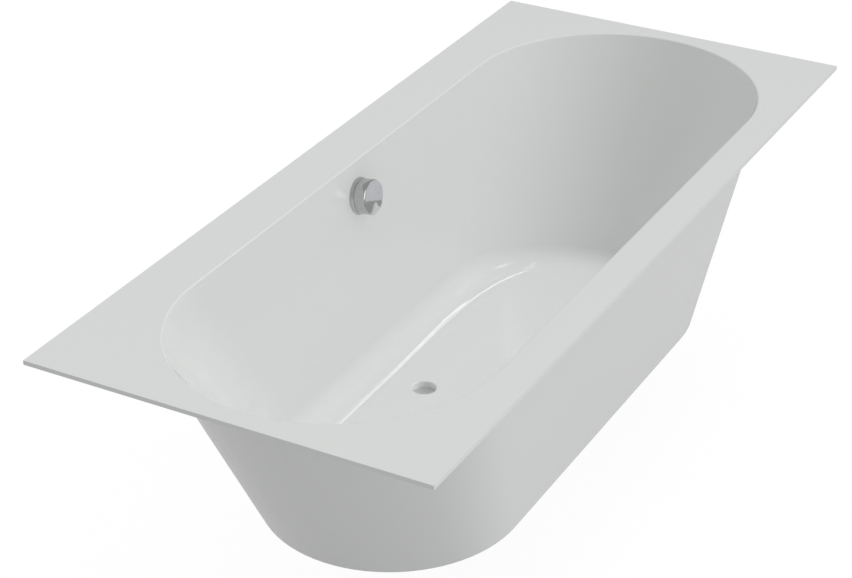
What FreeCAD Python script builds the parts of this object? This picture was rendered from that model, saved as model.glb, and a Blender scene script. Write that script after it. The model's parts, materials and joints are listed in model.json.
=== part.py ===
import FreeCAD
import Part
import Sketcher
import math
import os
import re

# Built-in bathtub with its waste, overflow, trap and foot frame, in millimetres.
# +X runs along the tub, +Y towards the side with the overflow, +Z up.
# The origin is on the floor, under the middle of the rim.

doc = FreeCAD.newDocument("bathtub")
sheet = doc.addObject("Spreadsheet::Sheet", "Sizes")

# Driving sizes, in millimetres unless the name ends in share, count or angle

tubSizes = {
    "rim_length": 1700,
    "rim_width": 750,
    "rim_thickness": 8,
    "rim_height": 560,
    "rim_edge_round": 3,
    "end_margin": 37,
    "near_margin": 64,
    "far_margin": 102,
    "floor_level": 153,
    "end_taper": 272,
    "side_taper": 57.9,
    "shell_lap": 8.7,
    "shell_end_taper": 215.7,
    "floor_thickness": 15,
    "floor_round": 50,
    "cut_overrun": 5,
}

overflowSizes = {
    "overflow_across": 10,
    "overflow_drop": 69,
    "overflow_hole_radius": 26,
    "flange_radius": 36,
    "flange_depth": 9,
    "flange_plate": 2.5,
    "flange_wall": 3,
    "flange_bush_radius": 8,
    "inlet_width": 44,
    "inlet_lip": 1,
    "knob_gap": 0.6,
    "knob_radius": 34,
    "knob_reach": 33,
    "knob_wall": 2.5,
    "knob_front": 4,
    "knob_edge": 1.5,
    "knob_hub_radius": 9,
    "knob_hub_gap": 2,
    "knob_bore_end": 5,
    "grub_radius": 2,
    "grub_length": 4.5,
    "grub_hole_clearance": 0.3,
    "spindle_radius": 4,
    "running_clearance": 0.05,
    "spindle_end_gap": 0.5,
    "overflow_screw_across": 20,
    "screw_radius": 2.5,
    "screw_clearance": 0.25,
    "overflow_head_radius": 4.6,
    "overflow_head_depth": 1.5,
    "overflow_gasket": 3,
    "gasket_bore_radius": 27,
    "overflow_body_radius": 38,
    "overflow_body_flange": 5,
    "cup_radius": 31,
    "cup_depth": 39.3,
    "cup_wall": 3,
    "boss_radius": 5,
    "boss_top_gap": 4,
    "boss_bite": 14,
    "rear_bush_radius": 8,
    "rear_bush_height": 5,
    "rear_bore_depth": 4,
    "spout_setback": 21.3,
    "spout_length": 52,
    "wheel_radius": 9.5,
    "wheel_width": 6,
    "wheel_setback": 22.3,
    "wheel_groove_half": 1.2,
    "wire_radius": 0.8,
    "wire_clearance": 0.3,
    "wire_length": 26,
    "clip_radius": 6.5,
    "clip_thickness": 1.2,
    "clip_slot": 6,
    "clip_groove": 0.5,
}

pipeSizes = {
    "pipe_radius": 14,
    "pipe_bore_radius": 12,
    "socket_radius": 17,
    "socket_depth": 18,
    "socket_stop": 2,
    "socket_fit": 0.1,
    "bend_radius": 30,
    "bend_outer_radius": 15,
    "nut_radius": 22,
    "nut_grip": 12,
    "nut_seal": 5,
    "nut_lip": 3,
    "nut_lip_clearance": 0.3,
    "nut_sides_count": 8,
    "sheath_radius": 2.5,
    "holder_height": 5,
    "holder_window_radius": 9,
    "holder_window_shift": 6,
}

wasteSizes = {
    "waste_along": -59,
    "waste_across": 90,
    "waste_hole_radius": 23.5,
    "waste_edge_bevel": 1.2,
    "waste_gasket": 3,
    "waste_flange_radius": 42,
    "waste_flange_thickness": 4,
    "waste_seat_radius": 19,
    "spider_width": 3,
    "spider_drop": 1,
    "stem_bush_radius": 6,
    "stem_bush_length": 15,
    "waste_screw_circle": 34,
    "waste_screw_count": 3,
    "waste_head_radius": 4.5,
    "waste_head_height": 3.5,
    "screw_hole_depth": 10,
    "screw_reach": 8,
    "waste_body_flange": 5,
    "bowl_radius": 27,
    "bowl_wall": 3,
    "bowl_depth": 40,
    "bowl_cone": 4,
    "outlet_radius": 23,
    "outlet_length": 14,
    "port_drop": 25,
    "port_reach": 40,
    "plug_radius": 22.5,
    "plug_thickness": 2.5,
    "plug_crown": 0.8,
    "plug_seal_radius": 22,
    "plug_seal_thickness": 2,
    "stem_radius": 3,
    "stem_length": 21,
    "guide_radius": 3.5,
    "guide_bend_radius": 9,
    "guide_gap": 0.4,
    "guide_lead": 27,
    "guide_foot_radius": 10.5,
    "guide_foot_start": 17,
    "guide_foot_thickness": 4,
    "guide_window_radius": 2.8,
    "guide_window_circle": 7,
    "guide_window_count": 3,
    "plug_lift": 12,
}

trapSizes = {
    "trap_radius": 20,
    "trap_wall": 2,
    "trap_bend_radius": 30,
    "trap_floor_gap": 5,
    "trap_outlet_height": 111,
    "trap_outlet_length": 50,
    "trap_washer": 2,
    "trap_collar": 3,
    "trap_collar_radius": 22.5,
    "trap_nut_radius": 28,
    "trap_nut_grip": 11,
    "trap_riser": 13,
    "trap_thread": 10,
    "trap_lip_clearance": 0.3,
}

footSizes = {
    "rail_along": 280,
    "rail_length": 300,
    "rail_gauge": 2,
    "rail_half_width": 20,
    "rail_flange": 18,
    "rail_height": 40,
    "rail_pad": 3,
    "rail_screw_spacing": 240,
    "rail_head_radius": 5,
    "rail_head_height": 3,
    "foot_spacing": 190,
    "stud_radius": 6,
    "stud_top_gap": 6,
    "stud_seat": 6,
    "nut_flat_radius": 10,
    "nut_height": 10,
    "foot_radius": 28,
    "foot_height": 16,
    "foot_edge": 5,
    "foot_neck_radius": 11,
}

sizeRow = 0
for group in (tubSizes, overflowSizes, pipeSizes, wasteSizes, trapSizes, footSizes):
    for alias, amount in group.items():
        sizeRow += 1
        sheet.set(f"A{sizeRow}", alias)
        sheet.set(f"B{sizeRow}", str(amount))
        sheet.setAlias(f"B{sizeRow}", alias)
sizeNames = [name for group in (tubSizes, overflowSizes, pipeSizes, wasteSizes, trapSizes, footSizes)
             for name in group]
doc.recompute()

# Sizes and places that follow from the driving ones, in the order in which they build on each other

worked = {
    # The tub: the opening inside the rim's margins, the base and the tapering walls
    "opening_half_length": "rim_length / 2 - end_margin",
    "opening_end_radius": "(rim_width - near_margin - far_margin) / 2",
    "basin_offset": "(near_margin - far_margin) / 2",
    "basin_depth": "rim_height - floor_level",
    "base_level": "floor_level - floor_thickness",
    "floor_half_length": "opening_half_length - end_taper",
    "floor_end_radius": "opening_end_radius - side_taper",
    "shell_half_length": "opening_half_length + shell_lap",
    "shell_end_radius": "opening_end_radius + shell_lap",
    "shell_depth": "basin_depth + floor_thickness - rim_thickness",
    "base_half_length": "shell_half_length - shell_end_taper",
    "base_end_radius": "shell_end_radius - side_taper * shell_depth / basin_depth",
    "side_angle": "atan(side_taper / basin_depth) / (1 deg)",
    "side_wall": "(shell_lap + side_taper * rim_thickness / basin_depth) * cos(side_angle)",
    # The overflow: its centre on the inner face of the far long wall, and levels along the wall's normal
    "overflow_level": "rim_height - overflow_drop",
    "overflow_depth": "basin_offset + opening_end_radius - overflow_drop * side_taper / basin_depth",
    "gasket_face": "0 - side_wall",
    "body_face": "gasket_face - overflow_gasket",
    "cup_end": "body_face - cup_depth",
    "cup_floor": "cup_end + cup_wall",
    "spout_centre": "body_face - spout_setback",
    "wheel_centre": "body_face - wheel_setback",
    "wire_reach": "plug_lift * 2 / pi",
    "groove_floor": "wire_reach - wire_radius - wire_clearance",
    "wheel_back": "wheel_centre - wheel_width / 2",
    "spindle_end": "cup_floor + rear_bush_height - rear_bore_depth + spindle_end_gap",
    "spindle_tip": "knob_reach - knob_front - knob_bore_end",
    "screw_seat": "flange_depth - overflow_head_depth",
    "boss_top": "body_face - boss_top_gap",
    # The overflow's upright pipe and its arm under the base
    "pipe_across": "overflow_depth - spout_centre * cos(side_angle)",
    "spout_level": "overflow_level + spout_centre * sin(side_angle)",
    "spout_foot": "spout_level - spout_length",
    "port_level": "base_level - waste_gasket - waste_flange_thickness - port_drop",
    "arm_x": "overflow_across - waste_along",
    "arm_y": "pipe_across - waste_across",
    "arm_span": "sqrt(arm_x * arm_x + arm_y * arm_y)",
    "arm_angle": "atan2(arm_y; arm_x) / (1 deg)",
    "elbow_level": "port_level + bend_radius",
    "socket_length": "socket_depth + socket_stop",
    "nut_end": "0 - nut_seal - nut_lip",
    # The waste, measured down from the tub's underside
    "waste_plate_face": "0 - waste_gasket",
    "waste_plate_back": "waste_plate_face - waste_flange_thickness",
    "waste_ears_back": "waste_plate_back - waste_body_flange",
    "bowl_foot": "waste_plate_back - bowl_depth",
    "cone_foot": "bowl_foot - bowl_cone",
    "outlet_end": "cone_foot - outlet_length",
    "bowl_bore_radius": "bowl_radius - bowl_wall",
    "outlet_bore_radius": "outlet_radius - bowl_wall",
    "plug_seat": "waste_plate_face + plug_seal_thickness",
    "stem_foot": "plug_seat - stem_length",
    "guide_top": "stem_foot - guide_gap",
    # The bowden cable in the pipes
    "sheath_top": "spout_level + wheel_drop - wire_length * cos(side_angle)",
    "wheel_drop": "(wheel_centre - spout_centre) * sin(side_angle)",
    "sheath_across": "pipe_across - (wheel_centre - spout_centre) * cos(side_angle)"
                     " - wire_length * sin(side_angle)",
    "sheath_x": "overflow_across + wire_reach - waste_along",
    "sheath_y": "sheath_across - waste_across",
    "sheath_span": "sqrt(sheath_x * sheath_x + sheath_y * sheath_y)",
    "sheath_angle": "atan2(sheath_y; sheath_x) / (1 deg)",
    "guide_level": "base_level + guide_top - guide_bend_radius",
    "sheath_bend_radius": "elbow_level - guide_level",
    # The trap
    "trap_bore_radius": "trap_radius - trap_wall",
    "trap_bend_level": "trap_floor_gap + trap_radius + trap_bend_radius",
    "trap_inlet_level": "base_level + outlet_end - trap_washer",
    "trap_riser_level": "trap_bend_level + trap_riser",
    "trap_outlet_bend_level": "trap_outlet_height - trap_bend_radius",
    "trap_riser_along": "waste_along - 2 * trap_bend_radius",
    "trap_lip_face": "0 - trap_washer - trap_collar",
    "trap_nut_end": "trap_lip_face - trap_collar",
    # The foot frame
    "rail_face": "base_level - rail_pad",
    "rail_foot": "rail_face - rail_height",
    "web_top": "rail_foot + rail_gauge",
    "rail_edge": "rail_half_width + rail_flange",
    "rail_screw_across": "rail_half_width + rail_flange / 2",
    "stud_top": "base_level - stud_top_gap",
}

builtPieces = []


def formula(text):
    """Spell out the named sizes in a formula for the sheet."""
    def spell(match):
        name = match.group()
        if name in worked:
            return "(" + formula(worked[name]) + ")"
        return "Sizes." + name if name in sizeNames else name
    return re.sub(r"[a-z][a-z_]*", spell, text)


def amountOf(text):
    """Work out a formula's present amount."""
    amount = sheet.evalExpression(formula(text))
    return float(getattr(amount, "Value", amount))


def bind(thing, **formulas):
    for name, text in formulas.items():
        thing.setExpression(name, formula(text))


def spot(x="0", y="0", z="0", turns=()):
    """The formula of a place: a point, then any turns as axis letter and angle."""
    text = f"create(<<placement>>; create(<<vector>>; {x}; {y}; {z}); create(<<rotation>>; 0; 0; 0))"
    for axis, angle in turns:
        vector = {"X": "1; 0; 0", "Y": "0; 1; 0", "Z": "0; 0; 1"}[axis]
        text += (f" * create(<<placement>>; create(<<vector>>; 0; 0; 0);"
                 f" create(<<rotation>>; create(<<vector>>; {vector}); {angle}))")
    return text


def originPart(body, role):
    return [feature for feature in body.Origin.OriginFeatures if feature.Role == role][0]


def newBody(label, place=None):
    body = doc.addObject("PartDesign::Body", label)
    body.Label = label
    if place:
        bind(body, Placement=place)
    builtPieces.append(body)
    return body


def newSketch(body, name, role="XY_Plane", place=None):
    sketch = body.newObject("Sketcher::SketchObject", body.Label + "_" + name)
    sketch.AttachmentSupport = (originPart(body, role), "")
    sketch.MapMode = "FlatFace"
    if place:
        bind(sketch, AttachmentOffset=place)
    return sketch


def hold(sketch, geometry, point, x, y):
    """Hold a point of the sketch at two named distances from the sketch's origin."""
    for kind, text, axis in (("DistanceX", x, -2), ("DistanceY", y, -1)):
        if text == "0":
            sketch.addConstraint(Sketcher.Constraint("PointOnObject", geometry, point, axis))
        else:
            index = sketch.addConstraint(Sketcher.Constraint(kind, -1, 1, geometry, point, amountOf(text)))
            sketch.setExpression(f"Constraints[{index}]", formula(text))


def outline(sketch, corners):
    """Draw a closed outline through corners given as pairs of formulas."""
    first = sketch.GeometryCount
    points = [FreeCAD.Vector(amountOf(x), amountOf(y), 0) for x, y in corners]
    count = len(points)
    for index in range(count):
        sketch.addGeometry(Part.LineSegment(points[index], points[(index + 1) % count]), False)
    for index, (x, y) in enumerate(corners):
        before = first + (index - 1) % count
        sketch.addConstraint(Sketcher.Constraint("Coincident", before, 2, first + index, 1))
        hold(sketch, first + index, 1, x, y)


def circle(sketch, radius, x="0", y="0"):
    centre = FreeCAD.Vector(amountOf(x), amountOf(y), 0)
    index = sketch.addGeometry(Part.Circle(centre, FreeCAD.Vector(0, 0, 1), amountOf(radius)), False)
    constraint = sketch.addConstraint(Sketcher.Constraint("Radius", index, amountOf(radius)))
    sketch.setExpression(f"Constraints[{constraint}]", formula(radius))
    if x == "0" and y == "0":
        sketch.addConstraint(Sketcher.Constraint("Coincident", index, 3, -1, 1))
    else:
        hold(sketch, index, 3, x, y)


def feature(body, kind, name, sketch, **settings):
    made = body.newObject("PartDesign::" + kind, body.Label + "_" + name)
    made.Profile = sketch
    for key, setting in settings.items():
        setattr(made, key, setting)
    return made


def pad(body, name, sketch, length, reverse=False):
    made = feature(body, "Pad", name, sketch, Reversed=reverse)
    bind(made, Length=length)
    return made


def pocket(body, name, sketch, length, reverse=False):
    made = feature(body, "Pocket", name, sketch, Reversed=reverse)
    bind(made, Length=length)
    return made


def turn(body, name, corners, kind="Revolution"):
    """Turn an outline of radius and height pairs about the body's upright axis."""
    sketch = newSketch(body, name + "_profile", "XZ_Plane")
    outline(sketch, corners)
    return feature(body, kind, name, sketch, ReferenceAxis=(sketch, ["V_Axis"]), Angle=360)


def turnedPiece(label, place, corners):
    body = newBody(label, place)
    turn(body, "turning", corners)
    return body


def ringPattern(body, name, original, count):
    made = body.newObject("PartDesign::PolarPattern", body.Label + "_" + name)
    made.Originals = [original]
    made.Axis = (originPart(body, "Z_Axis"), [""])
    made.Angle = 360
    bind(made, Occurrences=count)
    body.Tip = made
    return made


def polygonCorners(radius, sides):
    """Corners of a regular outline whose flats lie at the given radius."""
    corner = f"({radius} / cos(180 / {sides}))"
    turns = [f"({index} + 0.5) * 360 / {sides}" for index in range(sides)]
    return [(f"{corner} * cos({angle})", f"{corner} * sin({angle})") for angle in turns]


def groupOf(label, master, places):
    """One node holding like pieces, each a placed copy of the master."""
    builtPieces.remove(master)
    copies = []
    for index, place in enumerate(places):
        copy = doc.addObject("App::Link", f"{label}_copy_{index}")
        copy.LinkedObject = master
        bind(copy, Placement=place)
        copies.append(copy)
    group = doc.addObject("Part::Compound", label)
    group.Label = label
    group.Links = copies
    builtPieces.append(group)
    return group


def bentPipe(label, place, radius, bendRadius, angle, bore=None, ends=()):
    """A pipe that comes down the upright axis and bends towards -X about a centre at the origin.

    Each end is a list of cylinders: kind, radius and how far it runs out from the bend.
    """
    body = newBody(label, place)
    across = newSketch(body, "bend_section")
    circle(across, radius, bendRadius)
    feature(body, "Revolution", "bend", across, ReferenceAxis=(across, ["V_Axis"]), Angle=angle)
    faces = (spot(), spot(turns=[("Y", str(angle))]))
    for side, (face, steps) in enumerate(zip(faces, ends)):
        for index, (kind, stepRadius, start, length) in enumerate(steps):
            shift = f"({start})" if side == 0 else f"0 - ({start})"
            step = newSketch(body, f"end_{side}_{index}", place=face + " * " + spot(z=shift))
            circle(step, stepRadius, bendRadius)
            make = pad if kind == "add" else pocket
            runsUp = side == 0
            reverse = not runsUp if kind == "add" else runsUp
            make(body, f"end_{side}_{index}_{kind}", step, length, reverse)
    if bore:
        inside = newSketch(body, "bore_section")
        circle(inside, bore, bendRadius)
        feature(body, "Groove", "bend_bore", inside, ReferenceAxis=(inside, ["V_Axis"]), Angle=angle)
    return body


# Frames that several pieces share

overflowFrame = spot("overflow_across", "overflow_depth", "overflow_level", [("X", "90 - side_angle")])
wasteFrame = spot("waste_along", "waste_across", "base_level", [("Z", "arm_angle")])
armFrame = spot("waste_along", "waste_across", "port_level", [("Z", "arm_angle")])
elbowFrame = spot("waste_along", "waste_across", "elbow_level", [("Z", "arm_angle")])
cableFrame = spot("waste_along", "waste_across", "elbow_level", [("Z", "sheath_angle")])
guideFrame = spot("waste_along", "waste_across", "base_level + guide_top", [("Z", "sheath_angle")])
wasteScrewAngles = [f"({index} + 0.5) * 360 / waste_screw_count"
                    for index in range(wasteSizes["waste_screw_count"])]
bothSides = (-1, 1)
hexSides = 6
sameLevel = 0.001

# The tub: a flat rim, a tapering shell under it and the basin sunk through both


def stadium(sketch, halfLength, radius, across):
    """Draw two half circles joined by two straight sides."""
    reach = f"({halfLength} - {radius})"
    centreX, middle, round = amountOf(reach), amountOf(across), amountOf(radius)
    up = FreeCAD.Vector(0, 0, 1)
    quarter = math.pi / 2
    right = sketch.addGeometry(Part.ArcOfCircle(
        Part.Circle(FreeCAD.Vector(centreX, middle, 0), up, round), -quarter, quarter), False)
    left = sketch.addGeometry(Part.ArcOfCircle(
        Part.Circle(FreeCAD.Vector(-centreX, middle, 0), up, round), quarter, 3 * quarter), False)
    far = sketch.addGeometry(Part.LineSegment(
        FreeCAD.Vector(centreX, middle + round, 0), FreeCAD.Vector(-centreX, middle + round, 0)), False)
    near = sketch.addGeometry(Part.LineSegment(
        FreeCAD.Vector(-centreX, middle - round, 0), FreeCAD.Vector(centreX, middle - round, 0)), False)
    for first, firstEnd, second, secondEnd in ((right, 2, far, 1), (far, 2, left, 1),
                                               (left, 2, near, 1), (near, 2, right, 1)):
        sketch.addConstraint(Sketcher.Constraint("Tangent", first, firstEnd, second, secondEnd))
    for arc, side in ((right, reach), (left, f"0 - {reach}")):
        hold(sketch, arc, 3, side, across)
        index = sketch.addConstraint(Sketcher.Constraint("Radius", arc, round))
        sketch.setExpression(f"Constraints[{index}]", formula(radius))


def levelEdges(shape, level, halfLength, halfWidth):
    """Names of the edges that lie flat at a level, inside a rectangle about the origin."""
    names = []
    for index, edge in enumerate(shape.Edges, 1):
        box = edge.BoundBox
        flat = abs(box.ZMin - level) < sameLevel and abs(box.ZMax - level) < sameLevel
        inside = (abs(edge.CenterOfMass.x) < halfLength - sameLevel
                  and abs(edge.CenterOfMass.y) < halfWidth - sameLevel)
        if flat and inside:
            names.append(f"Edge{index}")
    return names


def roundEdges(body, name, base, level, halfLength, halfWidth, radius):
    doc.recompute()
    made = body.newObject("PartDesign::Fillet", body.Label + "_" + name)
    made.Base = (base, levelEdges(base.Shape, amountOf(level), amountOf(halfLength), amountOf(halfWidth)))
    bind(made, Radius=radius)
    return made


def screwPlaces():
    """Plan positions of every screw hole in the tub's underside."""
    around = [(f"waste_along + waste_screw_circle * cos(arm_angle + {angle})",
               f"waste_across + waste_screw_circle * sin(arm_angle + {angle})") for angle in wasteScrewAngles]
    return around + railScrewPlaces()


def railScrewPlaces():
    return [(f"{end} * rail_along + {side} * rail_screw_across",
             f"basin_offset + {row} * rail_screw_spacing / 2")
            for end in bothSides for side in bothSides for row in bothSides]


def buildTub():
    tub = newBody("tub_body")
    rim = newSketch(tub, "rim_outline", place=spot(z="rim_height - rim_thickness"))
    outline(rim, [(f"{x} * rim_length / 2", f"{y} * rim_width / 2")
                  for x, y in ((-1, -1), (1, -1), (1, 1), (-1, 1))])
    pad(tub, "rim", rim, "rim_thickness")

    shellTop = newSketch(tub, "shell_top", place=spot(z="rim_height - rim_thickness"))
    stadium(shellTop, "shell_half_length", "shell_end_radius", "basin_offset")
    shellFoot = newSketch(tub, "shell_foot", place=spot(z="base_level"))
    stadium(shellFoot, "base_half_length", "base_end_radius", "basin_offset")
    feature(tub, "AdditiveLoft", "shell", shellTop, Sections=[shellFoot], Ruled=True)

    basinTop = newSketch(tub, "basin_top", place=spot(z="rim_height"))
    stadium(basinTop, "opening_half_length", "opening_end_radius", "basin_offset")
    basinFloor = newSketch(tub, "basin_floor", place=spot(z="floor_level"))
    stadium(basinFloor, "floor_half_length", "floor_end_radius", "basin_offset")
    basin = feature(tub, "SubtractiveLoft", "basin", basinTop, Sections=[basinFloor], Ruled=True)

    floorRound = roundEdges(tub, "floor_round", basin, "floor_level", "rim_length / 2", "rim_width / 2",
                            "floor_round")
    rimRound = roundEdges(tub, "rim_round", floorRound, "rim_height", "rim_length / 2", "rim_width / 2",
                          "rim_edge_round")
    tub.Tip = rimRound

    hole = newSketch(tub, "waste_hole_outline", place=spot(z="floor_level + cut_overrun"))
    circle(hole, "waste_hole_radius", "waste_along", "waste_across")
    wasteHole = pocket(tub, "waste_hole", hole, "floor_thickness + 2 * cut_overrun")
    doc.recompute()
    wasteBevel = tub.newObject("PartDesign::Chamfer", "tub_body_waste_bevel")
    reach = amountOf("waste_hole_radius + waste_edge_bevel")
    lip = [name for name in levelEdges(wasteHole.Shape, amountOf("floor_level"), amountOf("rim_length"),
                                       amountOf("rim_width"))
           if wasteHole.Shape.getElement(name).BoundBox.XLength < 2 * reach]
    wasteBevel.Base = (wasteHole, lip)
    bind(wasteBevel, Size="waste_edge_bevel")

    mouth = newSketch(tub, "overflow_hole_outline", place=overflowFrame + " * " + spot(z="cut_overrun"))
    circle(mouth, "overflow_hole_radius")
    pocket(tub, "overflow_hole", mouth, "side_wall + 2 * cut_overrun")

    holes = newSketch(tub, "screw_holes_outline", place=spot(z="base_level"))
    for x, y in screwPlaces():
        circle(holes, "screw_radius", x, y)
    tub.Tip = pocket(tub, "screw_holes", holes, "screw_hole_depth", True)


# The overflow: rosette, knob, spindle and the cable wheel in the moulded cup behind the wall


def buildRosette():
    bore = "spindle_radius + running_clearance"
    back = "flange_depth - flange_plate"
    body = newBody("overflow_flange", overflowFrame)
    turn(body, "turning", [(bore, "0"), ("flange_bush_radius", "0"), ("flange_bush_radius", back),
                           ("flange_radius - flange_wall", back), ("flange_radius - flange_wall", "0"),
                           ("flange_radius", "0"), ("flange_radius", "flange_depth"), (bore, "flange_depth")])
    inlet = newSketch(body, "inlet_outline", place=spot(z="inlet_lip"))
    outline(inlet, [("0 - inlet_width / 2", "0 - flange_radius - cut_overrun"),
                    ("inlet_width / 2", "0 - flange_radius - cut_overrun"),
                    ("inlet_width / 2", "0 - flange_bush_radius - cut_overrun"),
                    ("0 - inlet_width / 2", "0 - flange_bush_radius - cut_overrun")])
    pocket(body, "inlet", inlet, f"{back} - 2 * inlet_lip", True)
    for name, radius, depth in (("screw_holes", "screw_radius", "flange_plate + cut_overrun"),
                                ("head_seats", "overflow_head_radius", "overflow_head_depth")):
        holes = newSketch(body, name + "_outline", place=spot(z="flange_depth"))
        for side in bothSides:
            circle(holes, f"{radius} + screw_clearance", f"{side} * overflow_screw_across")
        body.Tip = pocket(body, name, holes, depth)


def buildKnob():
    back = "flange_depth + knob_gap"
    hubFoot = f"{back} + knob_hub_gap"
    roof = "knob_reach - knob_front"
    inner = "knob_radius - knob_wall"
    screwLevel = f"({hubFoot} + spindle_tip) / 2"
    body = newBody("overflow_knob", overflowFrame)
    turn(body, "turning", [("0", "spindle_tip"), ("spindle_radius", "spindle_tip"),
                           ("spindle_radius", hubFoot), ("knob_hub_radius", hubFoot),
                           ("knob_hub_radius", roof), (inner, roof), (inner, back), ("knob_radius", back),
                           ("knob_radius", "knob_reach - knob_edge"),
                           ("knob_radius - knob_edge", "knob_reach"), ("0", "knob_reach")])
    thread = newSketch(body, "grub_thread", "XZ_Plane")
    circle(thread, "grub_radius", "0", screwLevel)
    pocket(body, "grub_hole", thread, "knob_hub_radius + cut_overrun", True)
    access = newSketch(body, "grub_access", "XZ_Plane", spot(z="knob_radius - knob_wall - cut_overrun"))
    circle(access, "grub_radius + grub_hole_clearance", "0", screwLevel)
    body.Tip = pocket(body, "grub_passage", access, "knob_wall + 2 * cut_overrun", True)
    turnedPiece("knob_grub_screw", overflowFrame + " * " + spot(z=screwLevel, turns=[("X", "90")]),
                [("0", "spindle_radius"), ("grub_radius", "spindle_radius"),
                 ("grub_radius", "spindle_radius + grub_length"), ("0", "spindle_radius + grub_length")])


def buildSpindle():
    neck = "spindle_radius - clip_groove"
    clipFoot = "wheel_back - clip_thickness"
    turnedPiece("overflow_spindle", overflowFrame,
                [("0", "spindle_end"), ("spindle_radius", "spindle_end"), ("spindle_radius", clipFoot),
                 (neck, clipFoot), (neck, "wheel_back"), ("spindle_radius", "wheel_back"),
                 ("spindle_radius", "spindle_tip"), ("0", "spindle_tip")])
    front = "wheel_back + wheel_width"
    grooveBack = "wheel_centre - wheel_groove_half"
    grooveFront = "wheel_centre + wheel_groove_half"
    turnedPiece("cable_wheel", overflowFrame,
                [("spindle_radius", "wheel_back"), ("wheel_radius", "wheel_back"),
                 ("wheel_radius", grooveBack), ("groove_floor", grooveBack),
                 ("groove_floor", grooveFront), ("wheel_radius", grooveFront),
                 ("wheel_radius", front), ("spindle_radius", front)])
    clip = turnedPiece("wheel_clip", overflowFrame,
                       [(neck, clipFoot), ("clip_radius", clipFoot), ("clip_radius", "wheel_back"),
                        (neck, "wheel_back")])
    slot = newSketch(clip, "slot_outline", place=spot(z="wheel_back"))
    outline(slot, [("0", "0 - clip_slot / 2"), ("clip_radius + cut_overrun", "0 - clip_slot / 2"),
                   ("clip_radius + cut_overrun", "clip_slot / 2"), ("0", "clip_slot / 2")])
    clip.Tip = pocket(clip, "slot", slot, "clip_thickness")


def buildOverflowBody():
    rim = "body_face - overflow_body_flange"
    body = newBody("overflow_body", overflowFrame)
    turn(body, "cup", [("0", "cup_end"), ("cup_radius", "cup_end"), ("cup_radius", rim),
                       ("overflow_body_radius", rim), ("overflow_body_radius", "body_face"),
                       ("0", "body_face")])
    plumb = spot(y="spout_centre", turns=[("X", "side_angle")])
    spout = newSketch(body, "spout_outline", "XZ_Plane", plumb)
    circle(spout, "socket_radius")
    pad(body, "spout", spout, "spout_length")
    turn(body, "hollow", [("0", "cup_floor"), ("cup_radius - cup_wall", "cup_floor"),
                          ("cup_radius - cup_wall", "body_face + cut_overrun"),
                          ("0", "body_face + cut_overrun")], "Groove")
    bore = newSketch(body, "spout_bore_outline", "XZ_Plane", plumb)
    circle(bore, "pipe_bore_radius")
    pocket(body, "spout_bore", bore, "spout_length + cut_overrun", True)
    socket = newSketch(body, "socket_outline", "XZ_Plane",
                       plumb + " * " + spot(z="spout_length - socket_depth"))
    circle(socket, "pipe_radius + socket_fit")
    pocket(body, "socket", socket, "socket_depth + cut_overrun", True)

    bosses = newSketch(body, "bosses_outline", place=spot(z="cup_floor"))
    taps = newSketch(body, "taps_outline", place=spot(z="boss_top"))
    for side in bothSides:
        circle(bosses, "boss_radius", f"{side} * overflow_screw_across")
        circle(taps, "screw_radius", f"{side} * overflow_screw_across")
    pad(body, "bosses", bosses, "boss_top - cup_floor")
    pocket(body, "taps", taps, "boss_bite")

    bush = newSketch(body, "bush_outline", place=spot(z="cup_floor"))
    circle(bush, "rear_bush_radius")
    pad(body, "bush", bush, "rear_bush_height")
    seat = newSketch(body, "bush_bore_outline", place=spot(z="cup_floor + rear_bush_height"))
    circle(seat, "spindle_radius + running_clearance")
    body.Tip = pocket(body, "bush_bore", seat, "rear_bore_depth")

    turnedPiece("overflow_gasket", overflowFrame,
                [("gasket_bore_radius", "body_face"), ("overflow_body_radius", "body_face"),
                 ("overflow_body_radius", "gasket_face"), ("gasket_bore_radius", "gasket_face")])
    screw = turnedPiece("overflow_screw", None,
                        [("0", "boss_top - boss_bite"), ("screw_radius", "boss_top - boss_bite"),
                         ("screw_radius", "screw_seat"), ("overflow_head_radius", "screw_seat"),
                         ("overflow_head_radius", "flange_depth"), ("0", "flange_depth")])
    groupOf("overflow_screws", screw,
            [overflowFrame + " * " + spot(x=f"{side} * overflow_screw_across") for side in bothSides])


# The overflow pipes, their unions and the bowden cable inside them


def tube(label, place, start, end, radius="pipe_radius", bore="pipe_bore_radius"):
    return turnedPiece(label, place, [(bore, start), (radius, start), (radius, end), (bore, end)])


def unionNut(label, radius, thread, lipBore, grip, lipFace, end):
    """A flat-sided nut with its thread above and an inward lip at its foot."""
    body = newBody(label)
    sides = newSketch(body, "sides", place=spot(z=end))
    outline(sides, polygonCorners(radius, pipeSizes["nut_sides_count"]))
    pad(body, "blank", sides, f"{grip} - ({end})")
    turn(body, "bore", [("0", f"{end} - cut_overrun"), (lipBore, f"{end} - cut_overrun"), (lipBore, lipFace),
                        (thread, lipFace), (thread, f"{grip} + cut_overrun"), ("0", f"{grip} + cut_overrun")],
         "Groove")
    return body


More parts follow.
